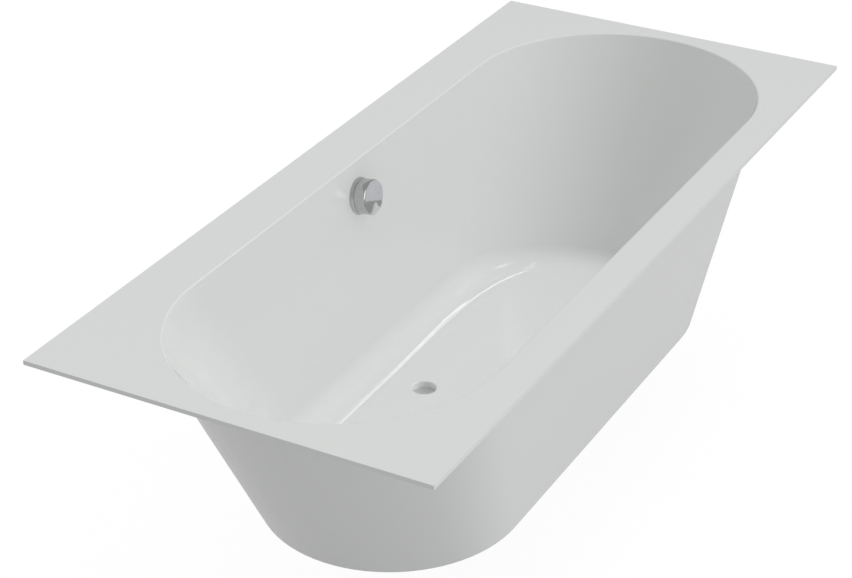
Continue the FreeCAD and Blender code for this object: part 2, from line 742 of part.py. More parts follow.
def buildPipes():
    tube("overflow_pipe", spot("overflow_across", "pipe_across"), "elbow_level + socket_stop",
         "spout_foot + socket_depth")
    tube("overflow_arm", armFrame + " * " + spot(turns=[("Y", "90")]), "port_reach",
         "arm_span - bend_radius - socket_stop")
    socket = [("add", "socket_radius", "0", "socket_length"),
              ("cut", "pipe_bore_radius", "0", "socket_length"),
              ("cut", "pipe_radius + socket_fit", "socket_stop", "socket_depth")]
    bentPipe("overflow_elbow", elbowFrame + " * " + spot(x="arm_span - bend_radius"),
             "bend_outer_radius", "bend_radius", 90, "pipe_bore_radius", (socket, socket))
    unions = [spot("overflow_across", "pipe_across", "spout_foot"),
              spot("overflow_across", "pipe_across", "elbow_level + socket_length", [("X", "180")]),
              armFrame + " * " + spot(x="arm_span - bend_radius - socket_length", turns=[("Y", "90")]),
              armFrame + " * " + spot(x="port_reach + socket_depth", turns=[("Y", "0 - 90")])]
    nut = unionNut("pipe_nut", "nut_radius", "socket_radius", "pipe_radius + nut_lip_clearance", "nut_grip",
                   "0 - nut_seal", "nut_end")
    groupOf("pipe_nuts", nut, unions)
    seal = tube("pipe_seal", None, "0 - nut_seal", "0", "socket_radius", "pipe_radius")
    groupOf("pipe_seals", seal, unions)


def buildCable():
    drop = "sheath_top - elbow_level"
    run = "sheath_span - sheath_bend_radius - guide_bend_radius - guide_lead"
    bentPipe("cable_sheath", cableFrame + " * " + spot(x="sheath_span - sheath_bend_radius"),
             "sheath_radius", "sheath_bend_radius", 90,
             ends=([("add", "sheath_radius", "0", drop)], [("add", "sheath_radius", "0", run)]))
    wireEnd = "wire_length - wire_radius * sin(side_angle)"
    turnedPiece("cable_wire",
                overflowFrame + " * " + spot("wire_reach", z="wheel_centre", turns=[("X", "90")]),
                [("0", "0"), ("wire_radius", "0"), ("wire_radius", wireEnd), ("0", wireEnd)])

    holder = newBody("cable_holder", spot("overflow_across", "pipe_across", "sheath_top - holder_height"))
    disc = newSketch(holder, "disc")
    circle(disc, "pipe_bore_radius")
    pad(holder, "plate", disc, "holder_height")
    window = newSketch(holder, "window_outline", place=spot(z="holder_height"))
    circle(window, "holder_window_radius", "0 - holder_window_shift")
    pocket(holder, "window", window, "holder_height")
    eye = newSketch(holder, "eye_outline", place=spot(z="holder_height"))
    circle(eye, "sheath_radius", "wire_reach", "sheath_across - pipe_across")
    holder.Tip = pocket(holder, "eye", eye, "holder_height")

    lead = [("add", "guide_radius", "0", "guide_lead"),
            ("add", "guide_foot_radius", "guide_foot_start", "guide_foot_thickness")]
    guide = bentPipe("cable_guide", guideFrame + " * " + spot(x="guide_bend_radius", turns=[("Z", "180")]),
                     "guide_radius", "guide_bend_radius", 90, ends=([], lead))
    windows = newSketch(guide, "windows_outline",
                        place=spot(turns=[("Y", "90")]) + " * " + spot(z="0 - guide_foot_start"))
    windowCount = wasteSizes["guide_window_count"]
    for angle in [f"{index} * 360 / {windowCount}" for index in range(windowCount)]:
        circle(windows, "guide_window_radius", f"guide_bend_radius + guide_window_circle * cos({angle})",
               f"guide_window_circle * sin({angle})")
    guide.Tip = pocket(guide, "windows", windows, "guide_foot_thickness")


# The waste: gasket, flange with its stem guide, moulded body and the lifting plug


def ringHoles(body, name, level, depth):
    """Clearance holes for the waste screws, cut down from a level."""
    hole = newSketch(body, name + "_outline", place=spot(z=level))
    angle = wasteScrewAngles[0]
    circle(hole, "screw_radius + screw_clearance", f"waste_screw_circle * cos({angle})",
           f"waste_screw_circle * sin({angle})")
    cut = pocket(body, name, hole, depth)
    ringPattern(body, name + "_ring", cut, "waste_screw_count")


def buildWaste():
    gasket = tube("waste_gasket", wasteFrame, "waste_plate_face", "0", "waste_flange_radius",
                  "waste_hole_radius")
    ringHoles(gasket, "screw_holes", "0", "waste_gasket")

    flange = newBody("waste_flange", wasteFrame)
    bore = "stem_radius + running_clearance"
    bushTop = "waste_plate_face - spider_drop"
    bushFoot = f"{bushTop} - stem_bush_length"
    turn(flange, "plate", [("waste_seat_radius", "waste_plate_back"),
                           ("waste_flange_radius", "waste_plate_back"),
                           ("waste_flange_radius", "waste_plate_face"),
                           ("waste_seat_radius", "waste_plate_face")])
    turn(flange, "bush", [(bore, bushFoot), ("stem_bush_radius", bushFoot), ("stem_bush_radius", bushTop),
                          (bore, bushTop)])
    rib = newSketch(flange, "rib_outline", place=spot(z="waste_plate_back"))
    ribStart = "(stem_radius + stem_bush_radius) / 2"
    ribEnd = "waste_seat_radius + spider_width"
    outline(rib, [(ribStart, "0 - spider_width / 2"), (ribEnd, "0 - spider_width / 2"),
                  (ribEnd, "spider_width / 2"), (ribStart, "spider_width / 2")])
    ribPad = pad(flange, "rib", rib, "waste_flange_thickness - spider_drop")
    ringPattern(flange, "ribs", ribPad, "waste_screw_count")
    ringHoles(flange, "screw_holes", "waste_plate_face", "waste_flange_thickness")

    body = newBody("waste_body", wasteFrame)
    turn(body, "bowl", [("0", "outlet_end"), ("outlet_radius", "outlet_end"), ("outlet_radius", "cone_foot"),
                        ("bowl_radius", "bowl_foot"), ("bowl_radius", "waste_ears_back"),
                        ("waste_flange_radius", "waste_ears_back"),
                        ("waste_flange_radius", "waste_plate_back"), ("0", "waste_plate_back")])
    portLevel = "waste_plate_back - port_drop"
    port = newSketch(body, "port_outline", "YZ_Plane")
    circle(port, "socket_radius", "0", portLevel)
    pad(body, "port", port, "port_reach + socket_depth")
    turn(body, "hollow", [("0", "outlet_end - cut_overrun"),
                          ("outlet_bore_radius", "outlet_end - cut_overrun"),
                          ("outlet_bore_radius", "cone_foot"), ("bowl_bore_radius", "bowl_foot"),
                          ("bowl_bore_radius", "waste_plate_back + cut_overrun"),
                          ("0", "waste_plate_back + cut_overrun")], "Groove")
    bore = newSketch(body, "port_bore_outline", "YZ_Plane")
    circle(bore, "pipe_bore_radius", "0", portLevel)
    pocket(body, "port_bore", bore, "port_reach + socket_depth + cut_overrun", True)
    socket = newSketch(body, "socket_outline", "YZ_Plane", spot(z="port_reach"))
    circle(socket, "pipe_radius + socket_fit", "0", portLevel)
    pocket(body, "socket", socket, "socket_depth + cut_overrun", True)
    ringHoles(body, "screw_holes", "waste_plate_back", "waste_body_flange")

    headFoot = "waste_ears_back - waste_head_height"
    screw = turnedPiece("waste_screw", None,
                        [("0", headFoot), ("waste_head_radius", headFoot),
                         ("waste_head_radius", "waste_ears_back"), ("screw_radius", "waste_ears_back"),
                         ("screw_radius", "screw_reach"), ("0", "screw_reach")])
    around = [wasteFrame + " * " + spot(f"waste_screw_circle * cos({angle})",
                                        f"waste_screw_circle * sin({angle})")
              for angle in wasteScrewAngles]
    groupOf("waste_screws", screw, around)


def buildPlug():
    top = "plug_seat + plug_thickness"
    turnedPiece("plug", wasteFrame,
                [("0", "plug_seat"), ("plug_radius", "plug_seat"), ("plug_radius", f"{top} - plug_crown"),
                 ("plug_radius - plug_crown", top), ("0", top)])
    tube("plug_seal", wasteFrame, "waste_plate_face", "plug_seat", "plug_seal_radius", "stem_radius")
    turnedPiece("plug_stem", wasteFrame, [("0", "stem_foot"), ("stem_radius", "stem_foot"),
                                          ("stem_radius", "plug_seat"), ("0", "plug_seat")])


# The trap under the waste


def buildTrap():
    inletLength = "trap_inlet_level - trap_bend_level"
    inlet = [("add", "trap_radius", "0", inletLength),
             ("add", "trap_collar_radius", f"{inletLength} - trap_collar", "trap_collar"),
             ("cut", "trap_bore_radius", "0", inletLength)]
    riser = [("add", "trap_radius", "0", "trap_riser"),
             ("add", "outlet_radius", "trap_riser - trap_thread", "trap_thread"),
             ("cut", "trap_bore_radius", "0", "trap_riser")]
    bentPipe("trap_bend", spot("waste_along - trap_bend_radius", "waste_across", "trap_bend_level"),
             "trap_radius", "trap_bend_radius", 180, "trap_bore_radius", (inlet, riser))
    legLength = "trap_outlet_bend_level - trap_riser_level - trap_washer"
    leg = [("add", "trap_radius", "0", legLength),
           ("add", "trap_collar_radius", f"{legLength} - trap_collar", "trap_collar"),
           ("cut", "trap_bore_radius", "0", legLength)]
    outlet = [("add", "trap_radius", "0", "trap_outlet_length"),
              ("cut", "trap_bore_radius", "0", "trap_outlet_length")]
    towardsWall = spot("trap_riser_along", "waste_across", "trap_outlet_bend_level", [("Z", "0 - 90")])
    bentPipe("trap_outlet", towardsWall + " * " + spot(x="0 - trap_bend_radius", turns=[("X", "180")]),
             "trap_radius", "trap_bend_radius", 90, "trap_bore_radius", (leg, outlet))
    joints = [spot("waste_along", "waste_across", "base_level + outlet_end"),
              spot("trap_riser_along", "waste_across", "trap_riser_level", [("X", "180")])]
    nut = unionNut("trap_nut", "trap_nut_radius", "outlet_radius", "trap_radius + trap_lip_clearance",
                   "trap_nut_grip", "trap_lip_face", "trap_nut_end")
    groupOf("trap_nuts", nut, joints)
    washer = tube("trap_washer", None, "0 - trap_washer", "0", "trap_collar_radius", "trap_bore_radius")
    groupOf("trap_washers", washer, joints)


# The foot frame: two hat-section rails screwed under the base, and four threaded feet


def railPlace(end):
    return spot(f"{end} * rail_along", "basin_offset")


def buildRail(label, end):
    body = newBody(label, railPlace(end))
    section = newSketch(body, "section", "XZ_Plane", spot(z="0 - rail_length / 2"))
    ledge = "rail_face - rail_gauge"
    inner = "rail_half_width - rail_gauge"
    right = [("rail_edge", ledge), ("rail_edge", "rail_face"), (inner, "rail_face"), (inner, "web_top")]
    left = [(f"0 - ({x})", z) for x, z in reversed(right)]
    outline(section, [("0 - rail_half_width", "rail_foot"), ("rail_half_width", "rail_foot"),
                      ("rail_half_width", ledge)] + right + left + [("0 - rail_half_width", ledge)])
    pad(body, "length", section, "rail_length")
    studs = newSketch(body, "stud_holes_outline", place=spot(z="web_top"))
    for row in bothSides:
        circle(studs, "stud_radius + screw_clearance", "0", f"{row} * foot_spacing / 2")
    pocket(body, "stud_holes", studs, "rail_gauge")
    holes = newSketch(body, "screw_holes_outline", place=spot(z="rail_face"))
    for side in bothSides:
        for row in bothSides:
            circle(holes, "screw_radius + screw_clearance", f"{side} * rail_screw_across",
                   f"{row} * rail_screw_spacing / 2")
    body.Tip = pocket(body, "screw_holes", holes, "rail_gauge")


def buildRailFixings():
    strip = newBody("rail_pad")
    shape = newSketch(strip, "strip")
    outline(shape, [(f"{x} * rail_flange / 2", f"{y} * rail_length / 2")
                    for x, y in ((-1, -1), (1, -1), (1, 1), (-1, 1))])
    for row in bothSides:
        circle(shape, "screw_radius + screw_clearance", "0", f"{row} * rail_screw_spacing / 2")
    pad(strip, "thickness", shape, "rail_pad")
    groupOf("rail_pads", strip,
            [spot(f"{end} * rail_along + {side} * rail_screw_across", "basin_offset", "rail_face")
             for end in bothSides for side in bothSides])
    screw = turnedPiece("rail_screw", None,
                        [("0", "0 - rail_head_height"), ("rail_head_radius", "0 - rail_head_height"),
                         ("rail_head_radius", "0"), ("screw_radius", "0"),
                         ("screw_radius", "rail_gauge + rail_pad + screw_reach"),
                         ("0", "rail_gauge + rail_pad + screw_reach")])
    groupOf("rail_screws", screw, [spot(x, y, "rail_face - rail_gauge") for x, y in railScrewPlaces()])


def buildFeet():
    corners = [(end, row) for end in bothSides for row in bothSides]
    plan = [(f"{end} * rail_along", f"basin_offset + {row} * foot_spacing / 2") for end, row in corners]
    for number, (x, y) in enumerate(plan, 1):
        turnedPiece(f"foot_stud_{number}", spot(x, y),
                    [("0", "stud_seat"), ("stud_radius", "stud_seat"), ("stud_radius", "stud_top"),
                     ("0", "stud_top")])
        turnedPiece(f"foot_pad_{number}", spot(x, y),
                    [("0", "0"), ("foot_radius", "0"), ("foot_radius", "foot_edge"),
                     ("foot_neck_radius", "foot_height"), ("stud_radius", "foot_height"),
                     ("stud_radius", "stud_seat"), ("0", "stud_seat")])
    for label, level in (("stud_nut", "web_top"), ("lock_nut", "rail_foot - nut_height")):
        nut = newBody(label)
        sides = newSketch(nut, "sides")
        outline(sides, polygonCorners("nut_flat_radius", hexSides))
        circle(sides, "stud_radius + running_clearance")
        pad(nut, "height", sides, "nut_height")
        groupOf(label + "s", nut, [spot(x, y, level) for x, y in plan])


buildTub()
buildRosette()
buildKnob()
buildSpindle()
buildOverflowBody()
buildPipes()
buildCable()
buildWaste()
buildPlug()
buildTrap()
buildRail("foot_rail_left", -1)
buildRail("foot_rail_right", 1)
buildRailFixings()
buildFeet()
doc.recompute()

faults = [thing.Name for thing in doc.Objects if "Invalid" in thing.State or "Error" in thing.State]
faults += [piece.Label for piece in builtPieces if piece.Shape.isNull() or not piece.Shape.isValid()]
if faults:
    raise RuntimeError("not built: " + ", ".join(faults))

os.makedirs("parts", exist_ok=True)
for piece in builtPieces:
    piece.Shape.exportStep(f"parts/{piece.Label}.step")
    box = piece.Shape.BoundBox
    print(f"{piece.Label}: {len(piece.Shape.Solids)} solids, {piece.Shape.Volume:.0f} mm3, "
          f"x {box.XMin:.1f} to {box.XMax:.1f}, y {box.YMin:.1f} to {box.YMax:.1f}, "
          f"z {box.ZMin:.1f} to {box.ZMax:.1f}")
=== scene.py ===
import bpy
import bmesh
import json
import math
from mathutils import Matrix, Vector


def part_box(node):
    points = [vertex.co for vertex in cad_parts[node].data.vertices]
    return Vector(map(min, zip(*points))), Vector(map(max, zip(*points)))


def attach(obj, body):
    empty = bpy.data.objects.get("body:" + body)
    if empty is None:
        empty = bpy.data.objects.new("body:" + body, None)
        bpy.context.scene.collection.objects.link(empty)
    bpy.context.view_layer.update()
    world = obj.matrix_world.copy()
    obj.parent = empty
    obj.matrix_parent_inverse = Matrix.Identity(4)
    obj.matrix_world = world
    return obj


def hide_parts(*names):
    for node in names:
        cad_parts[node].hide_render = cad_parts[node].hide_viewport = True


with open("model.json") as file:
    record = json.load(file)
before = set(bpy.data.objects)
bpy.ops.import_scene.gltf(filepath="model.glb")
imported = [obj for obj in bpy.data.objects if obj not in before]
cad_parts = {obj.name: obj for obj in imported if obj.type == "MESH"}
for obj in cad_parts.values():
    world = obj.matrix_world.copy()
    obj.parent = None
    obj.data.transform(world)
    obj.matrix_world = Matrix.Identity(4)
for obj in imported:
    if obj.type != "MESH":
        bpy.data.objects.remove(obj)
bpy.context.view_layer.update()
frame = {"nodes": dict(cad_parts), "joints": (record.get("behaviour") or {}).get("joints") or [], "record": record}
print("frame loaded:", len(frame["nodes"]), "nodes")

# Shader maths: a socket that adds a Math node when it takes part in a sum


class Value:
    def __init__(self, finish, socket):
        self.finish = finish
        self.socket = socket

    def __add__(self, other):
        return self.finish.maths("ADD", self, other)

    __radd__ = __add__

    def __sub__(self, other):
        return self.finish.maths("SUBTRACT", self, other)

    def __rsub__(self, other):
        return self.finish.maths("SUBTRACT", other, self)

    def __mul__(self, other):
        return self.finish.maths("MULTIPLY", self, other)

    __rmul__ = __mul__


class Finish:
    def __init__(self, name, **constants):
        self.material = bpy.data.materials.new(name)
        self.material.use_nodes = True
        self.tree = self.material.node_tree
        self.tree.nodes.clear()
        self.output = self.tree.nodes.new("ShaderNodeOutputMaterial")
        self.place = self.node("TexCoord", out="Object")
        self.shader = self.node("BsdfPrincipled", inputs=constants)
        self.show(self.shader)

    def show(self, shader):
        self.tree.links.new(shader.socket, self.output.inputs["Surface"])

    def give(self, socket, given):
        if isinstance(given, Value):
            self.tree.links.new(given.socket, socket)
        else:
            socket.default_value = given

    def node(self, kind, settings=None, inputs=None, out=0):
        made = self.tree.nodes.new("ShaderNode" + kind)
        for key, setting in (settings or {}).items():
            setattr(made, key, setting)
        for key, given in (inputs or {}).items():
            self.give(made.inputs[key], given)
        return Value(self, made.outputs[out])

    def set(self, **links):
        for name, given in links.items():
            self.give(self.shader.socket.node.inputs[name.replace("_", " ")], given)

    def maths(self, operation, first, second):
        return self.node("Math", {"operation": operation}, {0: first, 1: second})

    # Patterns on the object's own coordinates
    def height(self):
        return self.node("SeparateXYZ", inputs={"Vector": self.place}, out="Z")

    def placed(self, centre=(0, 0, 0), turn=(0, 0, 0), stretch=(1, 1, 1)):
        moved = self.node("VectorMath", {"operation": "SUBTRACT"}, {0: self.place, 1: centre})
        return self.node("Mapping", {"vector_type": "TEXTURE"}, {
            "Vector": moved, "Rotation": turn, "Scale": stretch})

    def noise(self, scale, detail, place=None):
        return self.node("TexNoise", inputs={"Vector": place or self.place, "Scale": scale, "Detail": detail})

    def cells(self, scale, out):
        return self.node("TexVoronoi", inputs={"Vector": self.place, "Scale": scale}, out=out)

    def waves(self, kind, scale, place, wobble):
        return self.node("TexWave", {"wave_type": kind, kind.lower() + "_direction": "Z"}, {
            "Vector": place, "Scale": scale, "Distortion": wobble, "Detail": 1})

    def above(self, level, softness, given):
        # 0 below the level, 1 above it
        return self.node("MapRange", {"interpolation_type": "SMOOTHSTEP"}, {
            "Value": given, "From Min": level - softness, "From Max": level + softness})

    def between(self, factor, first, second):
        return self.node("Mix", {"data_type": "RGBA"}, {0: factor, 6: first, 7: second}, out=2)

    def bumps(self, height, depth):
        self.set(Normal=self.node("Bump", inputs={"Height": height, "Distance": depth}))
        return self.material


# Places read from the frame

knobJoint = next(joint for joint in frame["joints"] if joint["name"] == "knob_turn")
knobPlace = Vector(knobJoint["pos_m"])
intoBasin = -Vector(knobJoint["axis"]).normalized()


def middle(node):
    low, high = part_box(node)
    return (low + high) / 2


plugPlace = middle("plug")
footNumbers = range(1, 5)


def turnedTo(across, up, direction):
    # a turn that takes X, Y and Z to three directions
    return Matrix((across, up, direction)).transposed().to_4x4()


def upright(place, direction):
    # a frame whose Z runs along the direction, with X level and Y up
    across = Vector((0, 0, 1)).cross(direction).normalized()
    return Matrix.Translation(place) @ turnedTo(across, direction.cross(across), direction)


wallFrame = upright(knobPlace, intoBasin)

# Finishes, one function each: a pattern is (scale, detail), and a level is (middle, softness)

tubWhite = {
    "light": (0.676, 0.688, 0.680, 1), "deep": (0.658, 0.671, 0.663, 1), "cloud": (1.3, 3),
    "speck": (0.4, 0.4, 0.4, 1), "specks": (900, 1), "speckLevel": (0.71, 0.02), "speckShare": 0.012,
    # hole: a paler colour painted on the waste hole's wall, as painted light against the shade in the hole
    "hole": (0.85, 0.86, 0.86, 1), "holeRadius": (0.0246, 0.0004), "holeTop": (0.1524, 0.0006),
    "smears": (5, 5), "smearTurn": (0, 0, 0.5), "smearStretch": (3, 1, 1),
    "roughness": 0.045, "rougher": 0.05,
    "ripples": (9, 1), "pores": (700, 2), "poreShare": 0.03, "depth": 0.00012,
}


def castWhite():
    made = Finish("cast_white", IOR=1.5)
    look = tubWhite
    cloud = made.noise(*look["cloud"])
    speck = made.above(*look["speckLevel"], made.noise(*look["specks"]))
    smear = made.noise(*look["smears"], made.placed(turn=look["smearTurn"], stretch=look["smearStretch"]))
    # the wall of the waste hole is painted paler: painted light that lifts the shade inside the hole
    apart = made.node("VectorMath", {"operation": "SUBTRACT"}, {0: made.place, 1: plugPlace})
    level = made.node("VectorMath", {"operation": "MULTIPLY"}, {0: apart, 1: (1, 1, 0)})
    radius = made.node("VectorMath", {"operation": "LENGTH"}, {0: level}, out="Value")
    hole = (1 - made.above(*look["holeRadius"], radius)) * (1 - made.above(*look["holeTop"], made.height()))
    colour = made.between(hole, made.between(cloud, look["deep"], look["light"]), look["hole"])
    made.set(Base_Color=made.between(speck * look["speckShare"], colour, look["speck"]),
             Roughness=look["roughness"] + look["rougher"] * smear)
    return made.bumps(made.noise(*look["ripples"]) + look["poreShare"] * made.noise(*look["pores"]),
                      look["depth"])


chrome = {
    "bright": (0.62, 0.625, 0.625, 1), "dull": (0.40, 0.405, 0.415, 1),
    "smears": (55, 4), "smearStretch": (1, 3, 1), "smearShare": 0.45,
    "marks": (420, 2), "markLevel": (0.52, 0.10), "markShare": 0.3,
    "water": (230, 3), "waterLevel": (0.62, 0.05), "waterBump": 0.2,
    "roughness": 0.05, "rougher": 0.10, "ripples": (160, 2), "depth": 0.00002,
}


def polishedChrome():
    made = Finish("polished_chrome", Metallic=1.0)
    look = chrome
    smear = made.noise(*look["smears"], made.placed(centre=knobPlace, stretch=look["smearStretch"]))
    water = made.above(*look["waterLevel"], made.noise(*look["water"]))
    marks = made.above(*look["markLevel"], made.noise(*look["marks"]))
    dulled = look["smearShare"] * smear + look["markShare"] * marks
    made.set(Base_Color=made.between(dulled, look["bright"], look["dull"]),
             Roughness=look["roughness"] + look["rougher"] * smear * water)
    return made.bumps(made.noise(*look["ripples"]) + look["waterBump"] * water, look["depth"])


plugDisc = {
    "bright": (0.80, 0.81, 0.81, 1), "dull": (0.66, 0.67, 0.67, 1),
    "limescale": (130, 5), "limescaleLevel": (0.58, 0.12), "limescaleShare": 0.5,
    "roughness": 0.28, "rougher": 0.18, "turning": 420, "wobble": 0.6, "grain": (900, 2), "depth": 0.00001,
}


def satinPlug():
    made = Finish("satin_plug", Metallic=1.0)
    look = plugDisc
    lines = made.waves("RINGS", look["turning"], made.placed(centre=plugPlace), look["wobble"])
    limescale = made.above(*look["limescaleLevel"], made.noise(*look["limescale"]))
    made.set(Base_Color=made.between(look["limescaleShare"] * limescale, look["bright"], look["dull"]),
             Roughness=look["roughness"] + look["rougher"] * limescale)
    return made.bumps(lines + made.noise(*look["grain"]), look["depth"])


pipeWhite = {
    "white": (0.70, 0.71, 0.69, 1), "yellowed": (0.66, 0.65, 0.60, 1), "yellowLevel": (0.5, 0.25),
    "flow": (14, 4), "flowStretch": (1, 1, 4), "flowBump": 2.5,
    "roughness": 0.34, "rougher": 0.16, "grain": (1400, 2), "depth": 0.00004,
}


def mouldedWhite():
    made = Finish("moulded_white", IOR=1.49)
    look = pipeWhite
    flow = made.noise(*look["flow"], made.placed(stretch=look["flowStretch"]))
    grain = made.noise(*look["grain"])
    made.set(Base_Color=made.between(made.above(*look["yellowLevel"], flow), look["white"], look["yellowed"]),
             Roughness=look["roughness"] + look["rougher"] * flow)
    return made.bumps(grain + look["flowBump"] * flow, look["depth"])


fittingGrey = {
    "grey": (0.075, 0.08, 0.085, 1), "worn": (0.15, 0.155, 0.16, 1), "wear": (90, 5), "wearLevel": (0.6, 0.1),
    "roughness": 0.42, "rougher": 0.18,
    "grain": (1600, 2), "lines": 210, "linesTurn": (0.3, 0.2, 0), "wobble": 0.4, "depth": 0.00003,
}


def mouldedGrey():
    made = Finish("moulded_grey", IOR=1.49)
    look = fittingGrey
    wear = made.above(*look["wearLevel"], made.noise(*look["wear"]))
    made.set(Base_Color=made.between(wear, look["grey"], look["worn"]),
             Roughness=look["roughness"] + look["rougher"] * wear)
    lines = made.waves("BANDS", look["lines"], made.placed(turn=look["linesTurn"]), look["wobble"])
    return made.bumps(made.noise(*look["grain"]) + lines, look["depth"])


footBlack = {
    "black": (0.018, 0.018, 0.02, 1), "scuffed": (0.06, 0.06, 0.062, 1),
    "scuffs": (220, 5), "scuffLevel": (0.006, 0.004), "dust": (60, 3), "dustShare": 0.25,
    "roughness": 0.5, "rougher": 0.2, "grain": 900, "depth": 0.00008,
}


def mouldedBlack():
    made = Finish("moulded_black", IOR=1.49)
    look = footBlack
    nearFloor = 1 - made.above(*look["scuffLevel"], made.height())
    scuff = nearFloor * made.noise(*look["scuffs"]) + look["dustShare"] * made.noise(*look["dust"])
    made.set(Base_Color=made.between(scuff, look["black"], look["scuffed"]),
             Roughness=look["roughness"] + look["rougher"] * scuff)
    return made.bumps(made.cells(look["grain"], "Distance"), look["depth"])


sheathBlack = {
    "black": (0.018, 0.018, 0.02, 1), "scuffed": (0.06, 0.06, 0.062, 1),
    "lines": (500, 1), "linesStretch": (0.1, 0.1, 6), "roughness": 0.35, "rougher": 0.2, "depth": 0.00005,
}


def extrudedBlack():
    made = Finish("extruded_black", IOR=1.49)
    look = sheathBlack
    lines = made.noise(*look["lines"], made.placed(stretch=look["linesStretch"]))
    made.set(Base_Color=made.between(lines, look["black"], look["scuffed"]),
             Roughness=look["roughness"] + look["rougher"] * lines)
    return made.bumps(lines, look["depth"])


rubber = {
    "black": (0.016, 0.016, 0.016, 1), "dusty": (0.075, 0.072, 0.068, 1),
    "dust": (45, 6), "dustLevel": (0.55, 0.15), "dustShare": 0.7,
    "roughness": 0.68, "rougher": 0.2, "grain": (1100, 3), "dents": (90, 2), "depth": 0.00006,
}


def mattRubber():
    made = Finish("matt_rubber", IOR=1.5)
    look = rubber
    dust = made.above(*look["dustLevel"], made.noise(*look["dust"]))
    made.set(Base_Color=made.between(look["dustShare"] * dust, look["black"], look["dusty"]),
             Roughness=look["roughness"] + look["rougher"] * dust)
    return made.bumps(made.noise(*look["grain"]) + made.noise(*look["dents"]), look["depth"])


fixingZinc = {
    "zinc": (0.62, 0.63, 0.65, 1), "yellow": (0.66, 0.60, 0.47, 1), "tint": (120, 3), "tintLevel": (0.5, 0.2),
    "scratches": (900, 2), "scratchTurn": (0, 0, 0.7), "scratchStretch": (9, 1, 1),
    "roughness": 0.24, "rougher": 0.22, "depth": 0.00002,
}


def zincSteel():
    made = Finish("zinc_steel", Metallic=1.0)
    look = fixingZinc
    tint = made.above(*look["tintLevel"], made.noise(*look["tint"]))
    scratch = made.noise(*look["scratches"],
                         made.placed(turn=look["scratchTurn"], stretch=look["scratchStretch"]))
    made.set(Base_Color=made.between(tint, look["zinc"], look["yellow"]),
             Roughness=look["roughness"] + look["rougher"] * scratch)
    return made.bumps(scratch, look["depth"])


railZinc = {
    "spangle": (0.44, 0.46, 0.48, 1), "frosted": (0.64, 0.66, 0.68, 1), "crystals": 150, "frost": (600, 4),
    "roughness": 0.30, "rougher": 0.22, "frostRougher": 0.1, "frostBump": 0.5, "depth": 0.00004,
}


def galvanised():
    made = Finish("galvanised", Metallic=1.0)
    look = railZinc
    spangle = made.node("SeparateColor", inputs={"Color": made.cells(look["crystals"], "Color")}, out="Red")
    frost = made.noise(*look["frost"])
    made.set(Base_Color=made.between(spangle, look["spangle"], look["frosted"]),
             Roughness=look["roughness"] + look["rougher"] * spangle + look["frostRougher"] * frost)
    return made.bumps(spangle + look["frostBump"] * frost, look["depth"])


brass = {
    "bright": (0.72, 0.50, 0.22, 1), "brown": (0.36, 0.24, 0.12, 1),
    "tarnish": (180, 4), "tarnishLevel": (0.55, 0.15), "tarnishShare": 0.6,
    "roughness": 0.2, "rougher": 0.25, "turning": 1500, "wobble": 0.2, "grain": (1200, 1), "depth": 0.00002,
}


def turnedBrass():
    made = Finish("turned_brass", Metallic=1.0)
    look = brass
    tarnish = made.above(*look["tarnishLevel"], made.noise(*look["tarnish"]))
    made.set(Base_Color=made.between(look["tarnishShare"] * tarnish, look["bright"], look["brown"]),
             Roughness=look["roughness"] + look["rougher"] * tarnish)
    lines = made.waves("BANDS", look["turning"], made.placed(), look["wobble"])
    return made.bumps(lines + made.noise(*look["grain"]), look["depth"])


finishes = {
    "tub_white": castWhite(), "chrome_trim": polishedChrome(), "plug_chrome": satinPlug(),
    "steel_fixings": zincSteel(), "rail_steel": galvanised(), "foot_plastic": mouldedBlack(),
    "pipe_plastic": mouldedWhite(), "fitting_plastic": mouldedGrey(), "cable_plastic": extrudedBlack(),
    "seal_rubber": mattRubber(), "brass_parts": turnedBrass(),
}
slotOf = {entry["node"]: entry["material_slot"] for entry in frame["record"]["subparts"]}
for name, node in frame["nodes"].items():
    node.data.materials.clear()
    node.data.materials.append(finishes[slotOf[name]])
print("finishes made:", len(finishes))

# Shapes, in millimetres in a frame of their own until they are landed

weld = 0.0005
cornerSteps = 5
pegSteps = 32
crease = 32
millimetres = Matrix.Scale(0.001, 4)


def rounded(corners):
    # (radius, level) or (radius, level, rounding) for each corner of a turned outline
    path = []
    for index, (radius, level, *rounding) in enumerate(corners):
        corner = Vector((radius, 0, level))
        if not rounding:
            path.append(corner)
            continue
        ends = []
        for other in (corners[index - 1], corners[index + 1]):
            ends.append(corner + (Vector((other[0], 0, other[1])) - corner).normalized() * rounding[0])
        for step in range(cornerSteps + 1):
            share = step / cornerSteps
            path.append((1 - share) ** 2 * ends[0] + 2 * share * (1 - share) * corner + share ** 2 * ends[1])
    return path


def raised(corners, level):
    # an outline's corners carried up to a level
    return [(radius, height + level, *rounding) for radius, height, *rounding in corners]


def welded(shape):
    bmesh.ops.remove_doubles(shape, verts=shape.verts, dist=weld)
    bmesh.ops.recalc_face_normals(shape, faces=shape.faces)
    return shape


def swept(path, steps, rise=0.0, closed=True):
    # a line of points turned through a full circle, rising as it goes
    shape = bmesh.new()
    points = [shape.verts.new(point) for point in path]
    edges = [shape.edges.new(pair) for pair in zip(points, points[1:])]
    bmesh.ops.spin(shape, geom=points + edges, cent=(0, 0, 0), axis=(0, 0, 1), dvec=(0, 0, rise / steps),
                   angle=math.tau, steps=steps, use_merge=closed)
    return shape


def spun(corners, steps):
    return welded(swept(rounded(corners), steps))


def peg(radius, foot, top):
    return spun([(0, foot), (radius, foot), (radius, top), (0, top)], pegSteps)


# shares of the thread's depth and of its pitch
threadRidge = [(0, 0.0), (1, 0.42), (1, 0.55), (0, 0.95), (0, 1.0)]


